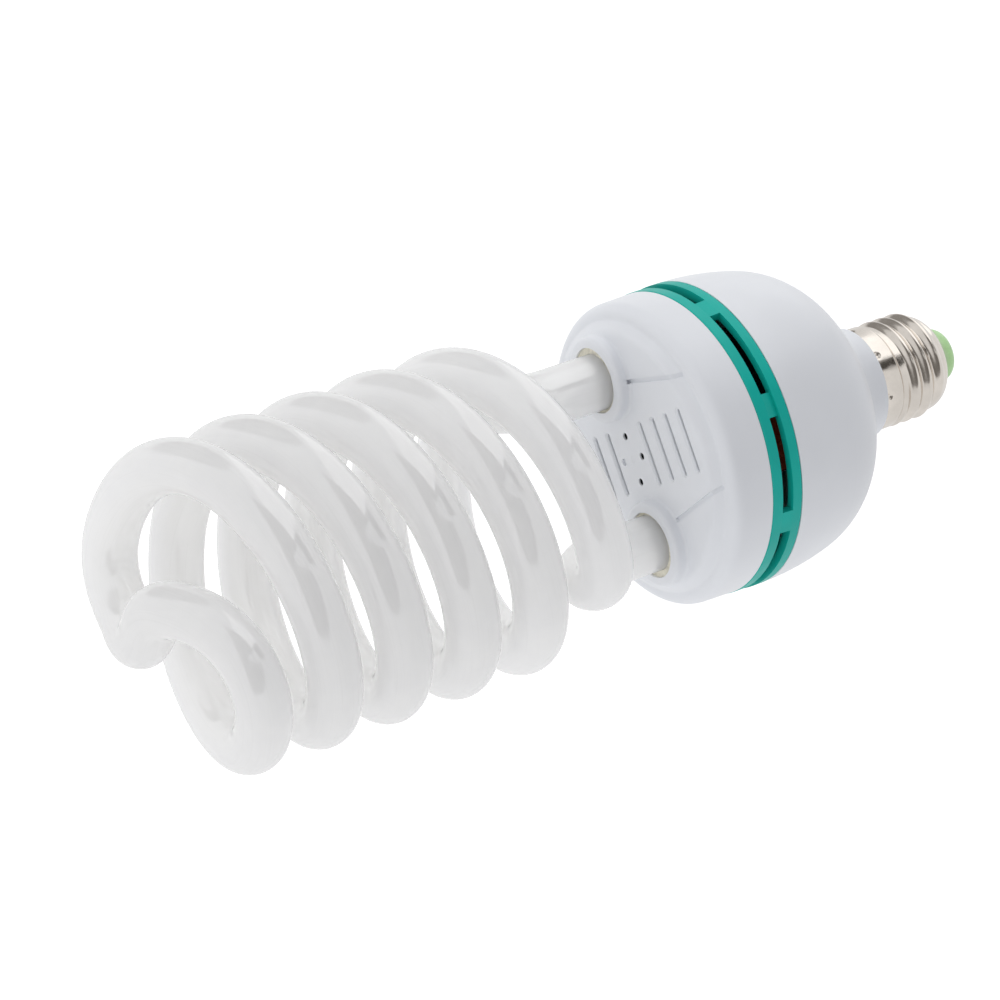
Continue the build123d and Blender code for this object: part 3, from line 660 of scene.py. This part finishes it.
@dataclass
class GlassSpiral:
    """The glass tube: two legs that bend into a double coil and meet in a bridge at the tip."""

    leg_radius: float = 6.9
    tube_radius: float = 6.49
    leg_reach: float = 20.2
    foot_z: float = 83.9
    foot_round: float = 3.0
    foot_first_turn: float = 0.02
    leg_top_z: float = 110.7
    coil_radius: float = 33.02
    coil_lead: float = 37.13
    coil_turns: float = 2.4312
    coil_start: float = 53.35
    coil_start_z: float = 125.39
    leg_pull: float = 13.0
    coil_pull: float = 12.0
    knee_radius: float = 17.44
    knee_turn: float = 57.88
    knee_rise: float = 7.9
    knee_heading: float = 56.63
    knee_slope: float = 21.02
    knee_pulls: tuple[float, float] = (9.1, 6.7)
    tip_rise: float = 11.31
    tip_angle: float = 125.66
    tip_coil_pull: float = 21.78
    tip_bridge_pull: float = 7.14
    run_unit: float = 400.0
    foot_points: int = 8
    leg_points: int = 22
    bend_points: int = 40
    coil_points: int = 460
    knee_points: int = 56
    bridge_points: int = 40
    points_around: int = 56

    def _coil(self) -> tuple[np.ndarray, np.ndarray]:
        """A helix: constant radius, with a rise in proportion to the turn.

        Returns:
            Its points, and its unit directions.
        """
        start = np.radians(self.coil_start)
        angle = np.linspace(start, start + FULL_TURN * self.coil_turns, self.coil_points)
        rise = self.coil_lead / FULL_TURN
        x, y = self.coil_radius * np.cos(angle), self.coil_radius * np.sin(angle)
        points = np.stack([x, y, self.coil_start_z + rise * (angle - start)], -1)
        return points, unit(np.stack([-y, x, np.full_like(x, rise)], -1))

    def _leg(self) -> tuple[np.ndarray, np.ndarray]:
        """A straight leg whose foot is rounded by a quarter circle.

        Returns:
            Its points, and the tube's radius at each.
        """
        quarter = np.linspace(self.foot_first_turn, np.pi / 2, self.foot_points)
        foot = self.foot_z + self.foot_round * (1 - np.cos(quarter))
        straight = np.linspace(self.foot_z + self.foot_round, self.leg_top_z, self.leg_points)
        z = np.concatenate([foot, straight[1:]])
        radius = np.full_like(z, self.leg_radius)
        radius[: self.foot_points] -= self.foot_round * (1 - np.sin(quarter))
        return np.stack([np.full_like(z, self.leg_reach), np.zeros_like(z), z], -1), radius

    def _strand(self) -> tuple[np.ndarray, np.ndarray, np.ndarray]:
        """One half of the tube: a leg, a bend, the coil, a knee and half the bridge.

        Cubic curves join the leg to the coil, the coil to the knee and the knee to the tip.

        Returns:
            Its points, a side direction at each, and the tube's radius at each.
        """
        up = np.array([0.0, 0.0, 1.0])
        leg, leg_radius = self._leg()
        coil, ahead = self._coil()
        end_angle = self.coil_start + 360 * self.coil_turns
        knee = polar(self.knee_radius, end_angle + self.knee_turn, coil[-1, 2] + self.knee_rise)
        slope = np.radians(self.knee_slope)
        knee_way = polar(np.cos(slope), self.knee_heading, np.sin(slope))
        tip = up * (coil[-1, 2] + self.tip_rise)
        off_leg, to_coil = leg[-1] + up * self.leg_pull, coil[0] - ahead[0] * self.coil_pull
        off_coil = coil[-1] + ahead[-1] * self.tip_coil_pull
        to_knee = knee - knee_way * self.knee_pulls[0]
        off_knee = knee + knee_way * self.knee_pulls[1]
        to_tip = tip - polar(self.tip_bridge_pull, self.tip_angle, 0)
        bend = bezier([leg[-1], off_leg, to_coil, coil[0]], self.bend_points)
        turn_in = bezier([coil[-1], off_coil, to_knee, knee], self.knee_points)
        bridge = bezier([knee, off_knee, to_tip, tip], self.bridge_points)
        points = np.concatenate([leg, bend[1:], coil[1:], turn_in[1:], bridge[1:]])
        taper = smooth_step(np.arange(len(points)), len(leg), len(leg) + len(bend))
        radius = self.leg_radius + (self.tube_radius - self.leg_radius) * taper
        radius[: len(leg)] = leg_radius
        first_turn_z = self.coil_start_z + self.coil_lead
        lift = smooth_step(points[:, 2], self.coil_start_z, first_turn_z)[:, None]
        side = unit(from_axis(points) * (1 - lift) + up * lift)
        return points, side, radius

    def build(self) -> bpy.types.Object:
        """Carry a circle along both strands, from one foot to the other.

        Each point of the wall is a point of the line plus the tube's radius times a direction that
        turns about the line, from the side direction on.

        Returns:
            The tube, with the place round its wall, the run along it and the inward lean per point.
        """
        half_turn = [-1, -1, 1]
        points, side, radius = self._strand()
        line = np.concatenate([points, (points * half_turn)[::-1][1:]])
        side = np.concatenate([side, (side * half_turn)[::-1][1:]])
        radius = np.concatenate([radius, radius[::-1][1:]])
        ahead = unit(np.gradient(line, axis=0))
        first = unit(side - ahead * np.sum(side * ahead, -1, keepdims=True))
        second = np.cross(ahead, first)
        turn = np.linspace(0, FULL_TURN, self.points_around, endpoint=False)
        ring_up, ring_out = np.cos(turn), np.sin(turn)
        outward = ring_up[:, None] * first[:, None] + ring_out[:, None] * second[:, None]
        wall = line[:, None] + outward * radius[:, None, None]
        inward = -np.sum(outward * from_axis(line)[:, None], -1)
        steps = np.linalg.norm(np.diff(line, axis=0), axis=-1)
        run = np.concatenate([[0], np.cumsum(steps)]) / self.run_unit
        shape = inward.shape
        attributes = {
            "ring_up": np.broadcast_to(ring_up, shape),
            "ring_out": np.broadcast_to(ring_out, shape),
            "run": np.broadcast_to(run[:, None], shape),
            "inward": inward,
        }
        return mesh_piece("glass_spiral", wall, grid_faces(*shape), attributes)


@dataclass
class ScrewShell:
    """The rolled shell of the cap: a rounded end, a round thread and a crimped skirt."""

    crest_radius: float = 13.1
    root_radius: float = 12.1
    skirt_radius: float = 12.95
    wall: float = 0.35
    inside_step: float = 1.6
    lip_z: float = 5.42
    lip_bend: float = 5.0
    lip_radius: float = 6.95
    skirt_z: float = 21.7
    skirt_flare: Range = (-0.1, 1.1)
    top_z: float = 27.75
    thread_start_z: float = 10.19
    thread_start: float = 50.0
    thread_pitch: float = 3.63
    thread_turns: float = 3.04
    thread_in: Range = (-0.10, 0.12)
    thread_out: Range = (-0.12, 0.10)
    thread_fullness: float = 0.85
    crimp_z: float = 26.6
    crimp_start: float = 62.4
    crimp_pitch: float = 47.8
    crimp_depth: float = 0.5
    crimp_size: float = 0.72
    crimp_steepness: float = 4
    bend_points: int = 20
    thread_points: int = 110
    skirt_points: int = 46
    points_around: int = 270

    def _profile(self) -> tuple[np.ndarray, np.ndarray]:
        """Outside of the sheet: a quarter circle, a straight wall and a flared skirt.

        Returns:
            Radii and heights from the opening to the top edge.
        """
        quarter = np.linspace(np.pi / 2, 0, self.bend_points)
        bend_r = self.root_radius - self.lip_bend + self.lip_bend * np.cos(quarter)
        bend_z = self.lip_z + self.lip_bend - self.lip_bend * np.sin(quarter)
        straight = np.linspace(bend_z[-1], self.skirt_z, self.thread_points)
        skirt = np.linspace(self.skirt_z, self.top_z, self.skirt_points)
        z = np.concatenate([straight[1:], skirt[1:]])
        flare = smooth_step(z, *(self.skirt_z + step for step in self.skirt_flare))
        r = self.root_radius + (self.skirt_radius - self.root_radius) * flare
        radii = np.concatenate([[self.lip_radius], bend_r, r])
        return radii, np.concatenate([[self.lip_z], bend_z, z])

    def _thread(self, turn: np.ndarray, z: np.ndarray) -> np.ndarray:
        """Height of the thread: a raised cosine about the helix, which fades at both ends.

        Args:
            turn: Angles in degrees.
            z: Heights.

        Returns:
            The height above the root at every height and angle.
        """
        climbed = (z[:, None] - self.thread_start_z) / self.thread_pitch
        lap = (turn[None] - self.thread_start) / 360
        nearest = np.round(climbed - lap)
        crest = 0.5 + 0.5 * np.cos(FULL_TURN * (climbed - lap - nearest))
        here = lap + nearest
        fade_in = smooth_step(here, *self.thread_in)
        fade_out = smooth_step(here, *(self.thread_turns + step for step in self.thread_out))
        depth = self.crest_radius - self.root_radius
        return depth * crest**self.thread_fullness * (fade_in * (1 - fade_out))

    def _crimps(self, turn: np.ndarray, z: np.ndarray) -> np.ndarray:
        """Depth of the punched dents in the skirt, each one a bell shape.

        Args:
            turn: Angles in degrees.
            z: Heights.

        Returns:
            The depth at every height and angle.
        """
        half = self.crimp_pitch / 2
        from_dent = (turn - self.crimp_start + half) % self.crimp_pitch - half
        across = np.radians(from_dent) * self.skirt_radius
        reach = np.hypot(across[None], z[:, None] - self.crimp_z)
        return self.crimp_depth * np.exp(-((reach / self.crimp_size) ** self.crimp_steepness))

    def build(self) -> bpy.types.Object:
        """Turn the profile about the axis, with thread and dents, and close it by a plain inside.

        Returns:
            The shell.
        """
        turn = np.linspace(0, 360, self.points_around, endpoint=False)
        r, z = self._profile()
        outside = r[:, None] + self._thread(turn, z) - self._crimps(turn, z)
        inside_z = np.clip(z[::-1], self.lip_z + self.wall, None)
        inside_r = (r[::-1] - self.wall * self.inside_step)[:, None]
        inside = np.broadcast_to(inside_r, outside.shape).copy()
        inside[-1] = r[0]
        radius = np.concatenate([outside, inside])
        height = np.concatenate([z, inside_z])[:, None]
        way = np.radians(turn)[None]
        x, y = radius * np.cos(way), radius * np.sin(way)
        points = np.stack(np.broadcast_arrays(x, y, height), -1)
        return mesh_piece("screw_shell_rolled", points, grid_faces(*radius.shape, closed=True))


@dataclass(frozen=True)
class Wave:
    """One wave of the lumps round a bead of cement."""

    size: float
    count: int
    start: float
    drift: float


@dataclass
class LegCement:
    """A bead of cement between one leg and its collar."""

    side: int = 1
    leg_reach: float = 20.2
    leg_radius: float = 6.95
    collar_reach: float = 20.65
    bore: float = 8.05
    top_z: float = 96.5
    depth: float = 4.8
    climb: float = 0.3
    lump: float = 0.09
    waves: tuple[Wave, ...] = (Wave(1.0, 5, 1.3, 0), Wave(0.7, 11, 0.4, 3), Wave(0.5, 23, 0.0, 5))
    points_across: int = 12
    points_around: int = 144

    def build(self) -> bpy.types.Object:
        """Span the gap with a surface over straight sides.

        The surface climbs both walls by a square law, and carries a sum of sines as low lumps that
        die out at the walls.

        Returns:
            The bead.
        """
        turn = np.linspace(0, FULL_TURN, self.points_around, endpoint=False)
        ring = np.stack([np.cos(turn), np.sin(turn)], -1)
        inner = ring * self.leg_radius + [self.side * self.leg_reach, 0]
        outer = ring * self.bore + [self.side * self.collar_reach, 0]
        share = np.concatenate([[1.0], np.linspace(1, 0, self.points_across), [0.0]])[:, None]
        flat = inner[None] * (1 - share[..., None]) + outer[None] * share[..., None]
        lumps = sum(
            wave.size * np.sin(wave.count * turn + wave.start + wave.drift * share)
            for wave in self.waves
        )
        from_middle = 2 * share - 1
        low = self.top_z - self.climb
        height = low + self.climb * from_middle**2 + self.lump * lumps * (1 - from_middle**4)
        height[[0, -1]] = self.top_z - self.depth
        points = np.concatenate([flat, height[..., None]], -1)
        name = "cement_bead_a" if self.side > 0 else "cement_bead_b"
        return mesh_piece(name, points, grid_faces(*height.shape, closed=True))


@dataclass(frozen=True)
class SoftBox:
    """A soft rectangular light, with its direction in the picture.

    Its radiance is the brightness of its face, where white paper is one.
    """

    name: str
    way: Point
    distance: float
    width: float
    height: float
    radiance: float


@dataclass(frozen=True)
class RoomSide:
    """A side of the room with a colour of its own, about a direction in the picture.

    Its edge gives the cosines to that direction at which the colour starts and is full.
    """

    way: Point
    edge: Range
    colour: Colour


@dataclass(frozen=True)
class Panel:
    """A part of the mirror room between two angles about the line to the camera, in degrees.

    It starts and stops at given cosines to that line, each over a soft edge, and a stop past one
    is never reached.
    """

    angles: Range
    start: Range
    stop: Range
    colour: Colour


@dataclass
class Studio:
    """Camera, lights, room and floor."""

    camera_place: Point = (-1.18, 956.83, 659.6)
    camera_reach: float = 20000.0
    focal_pixels: float = 4677.7
    picture_pixels: float = 1000.0
    sensor: float = 36.0
    middle: Point = (0.0, 0.0, 120.0)
    boxes: tuple[SoftBox, ...] = (
        SoftBox("top_box", (0.12, 0.95, 0.12), 700.0, 760.0, 330.0, 1.6),
        SoftBox("right_box", (0.80, 0.05, 0.50), 900.0, 240.0, 800.0, 0.7),
    )
    sideways_limit: float = 0.7
    backdrop: Colour = (1.0, 1.0, 1.0)
    soft_room: Colour = (1.08, 1.08, 1.09)
    soft_sides: tuple[RoomSide, ...] = (
        RoomSide((0.0, 0.0, 1.0), (-0.5, 0.2), (0.95, 0.95, 0.95)),
        RoomSide((0.0, 1.0, 0.0), (-0.3, 0.6), (0.85, 0.85, 0.85)),
        RoomSide((0.0, -1.0, 0.0), (0.25, 0.95), (0.88, 0.88, 0.89)),
        RoomSide((-1.0, 0.0, 0.0), (0.2, 0.95), (0.84, 0.84, 0.85)),
        RoomSide((0.75, 0.3, 0.59), (0.38, 0.82), (0.22, 0.22, 0.23)),
    )
    mirror_room: Colour = (0.85, 0.85, 0.85)
    dark_side: Colour = (0.18, 0.17, 0.16)
    dark_side_start: Range = (0.62, 0.66)
    dark_side_left: Range = (-0.25, -0.12)
    dark_corner: RoomSide = RoomSide((-0.45, 0.85, -0.25), (0.87, 0.90), (0.3, 0.29, 0.28))
    panels: tuple[Panel, ...] = (
        Panel((24.0, 45.0), (0.14, 0.20), (1.10, 1.20), (0.05, 0.045, 0.04)),
        Panel((17.0, 40.0), (0.54, 0.56), (0.97, 0.98), (0.75, 0.75, 0.75)),
        Panel((44.0, 82.0), (-0.75, -0.70), (0.60, 0.62), (1.4, 1.4, 1.4)),
    )
    panel_edge: float = 0.01
    floor_z: float = -60.0
    floor_half: float = 6000.0
    floor_colour: Colour = (0.8, 0.8, 0.8)
    floor_lift: Colour = (0.5, 0.5, 0.5)

    def build(self) -> None:
        """Put up the camera, the lights, the room and the floor."""
        self._camera()
        for box in self.boxes:
            self._light(box)
        self._world()
        self._floor()

    def _camera(self) -> None:
        """Set the camera to the photograph's view."""
        data = bpy.data.cameras.new("camera")
        data.sensor_width = self.sensor
        data.lens = self.focal_pixels / self.picture_pixels * self.sensor
        data.clip_end = self.camera_reach * MM
        camera = bpy.data.objects.new("camera", data)
        matrix = Matrix([Vector(way.value).normalized() for way in Way]).transposed().to_4x4()
        matrix.translation = Vector(self.camera_place) * MM
        camera.matrix_world = matrix
        bpy.context.scene.collection.objects.link(camera)
        bpy.context.scene.camera = camera

    def _light(self, box: SoftBox) -> None:
        """Hang one light so that it faces the lamp's middle, with its width across the picture.

        Args:
            box: The light. Its width runs towards the camera where it hangs at the side.
        """
        data = bpy.data.lights.new(box.name, "AREA")
        data.shape = "RECTANGLE"
        data.size, data.size_y = box.width * MM, box.height * MM
        data.energy = np.pi * data.size * data.size_y * box.radiance
        light = bpy.data.objects.new(box.name, data)
        light.visible_glossy = False
        way = picture_way(*box.way)
        along = Vector(Way.RIGHT.value)
        if abs(along.dot(way)) > self.sideways_limit:
            along = Vector(Way.TOWARD.value)
        along = (along - way * along.dot(way)).normalized()
        turned = Matrix((along, way.cross(along), way)).transposed().to_4x4()
        place = (Vector(self.middle) + way * box.distance) * MM
        light.matrix_world = Matrix.Translation(place) @ turned
        bpy.context.scene.collection.objects.link(light)

    @staticmethod
    def _lean(shader: Shader, right: float, up: float, toward: float) -> Wire:
        """Cosine between the world's direction and one that is given in the picture."""
        ends = {
            0: shader.value("ShaderNodeTexCoord", output="Generated"),
            1: picture_way(right, up, toward),
        }
        return shader.value("ShaderNodeVectorMath", {"operation": "DOT_PRODUCT"}, ends, "Value")

    def _world(self) -> None:
        """White for the camera, a soft room for matt surfaces and one with panels for mirrors."""
        world = bpy.data.worlds.new("studio")
        bpy.context.scene.world = world
        shader = Shader(world)
        path = shader.node("ShaderNodeLightPath")
        seen = Wire(shader, path.outputs["Is Camera Ray"])
        mirrored = Wire(shader, path.outputs["Is Glossy Ray"])
        colour = shader.mix(mirrored, self._soft_room(shader), self._mirror_room(shader))
        colour = shader.mix(seen, colour, self.backdrop)
        back = shader.node("ShaderNodeBackground", sockets={"Color": colour})
        shader.close(back, "ShaderNodeOutputWorld")

    def _side(self, shader: Shader, room: Wire | Colour, side: RoomSide) -> Wire:
        """Paint one side of a room over the colour that it has so far."""
        return shader.mix(self._lean(shader, *side.way).spread(*side.edge), room, side.colour)

    def _soft_room(self, shader: Shader) -> Wire:
        """Light on matt surfaces: bright behind, less on the other sides, dim right of the camera.

        Args:
            shader: The world's node maker.

        Returns:
            The room's colour.
        """
        room = self.soft_room
        for side in self.soft_sides:
            room = self._side(shader, room, side)
        return room

    def _mirror_room(self, shader: Shader) -> Wire:
        """What mirrors show: a pale room with a dark side, a dark corner and three panels.

        The dark side is round the camera and stops on the left. The panels are a dark gap, a pale
        strip and a bright box, and each one covers those before it.

        Args:
            shader: The world's node maker.

        Returns:
            The room's colour.
        """
        facing = self._lean(shader, 0.0, 0.0, 1.0)
        right = self._lean(shader, 1.0, 0.0, 0.0)
        dark = facing.spread(*self.dark_side_start) * right.spread(*self.dark_side_left)
        room = shader.mix(dark, self.mirror_room, self.dark_side)
        room = self._side(shader, room, self.dark_corner)
        for panel in self.panels:
            share = self._sector(shader, *panel.angles)
            share = share * facing.spread(*panel.start) * facing.fall(*panel.stop)
            room = shader.mix(share, room, panel.colour)
        return room

    def _sector(self, shader: Shader, low: float, high: float) -> Wire:
        """Part of the room between two angles about the line to the camera, from right to top.

        Args:
            shader: The world's node maker.
            low: First angle in degrees.
            high: Second angle in degrees.

        Returns:
            One inside the sector and nought outside.
        """
        past_low, past_high = (
            self._lean(shader, -np.sin(turn), np.cos(turn), 0.0).spread(
                -self.panel_edge, self.panel_edge
            )
            for turn in np.radians([low, high])
        )
        return past_low * (1.0 - past_high)

    def _floor(self) -> None:
        """A plain white floor that takes the lamp's shadow and holds back none of the light."""
        corners = np.array([(-1, -1), (1, -1), (1, 1), (-1, 1)]) * self.floor_half
        points = np.concatenate([corners, np.full((4, 1), self.floor_z)], -1)
        floor = mesh_piece("floor", points, [[0, 1, 2, 3]])
        material = bpy.data.materials.new("floor_white")
        shader = Shader(material)
        seen = shader.value("ShaderNodeLightPath", output="Is Camera Ray")
        sockets = {
            "Base Color": (*self.floor_colour, 1.0),
            "Roughness": 1.0,
            "Emission Color": shader.mix(seen, (0.0, 0.0, 0.0), self.floor_lift),
            "Emission Strength": 1.0,
        }
        shader.surface(sockets)
        floor.data.materials.append(material)
        floor.visible_shadow = False
        floor.visible_diffuse = False
        floor.visible_glossy = False
        floor.visible_transmission = False


def main() -> None:
    """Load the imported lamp, dress it and put it in the studio."""
    logging.basicConfig(level=logging.INFO)
    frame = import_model()
    palette = Palette()
    subparts = frame["record"]["subparts"]
    slots = {entry["node"]: Slot(entry["material_slot"]) for entry in subparts}
    for node, piece in frame["nodes"].items():
        palette.dress(piece, slots[node])
        LOG.info("%s is dressed in %s", node, slots[node].value)
    palette.finish_piece(GlassSpiral().build(), Slot.GLASS, "spiral_tube")
    palette.finish_piece(ScrewShell().build(), Slot.SHELL, "screw_shell")
    palette.finish_piece(LegCement(side=1).build(), Slot.CEMENT, "leg_cement_a")
    palette.finish_piece(LegCement(side=-1).build(), Slot.CEMENT, "leg_cement_b")
    Studio().build()
    bpy.context.scene.view_settings.view_transform = "Standard"


if __name__ == "__main__":
    main()
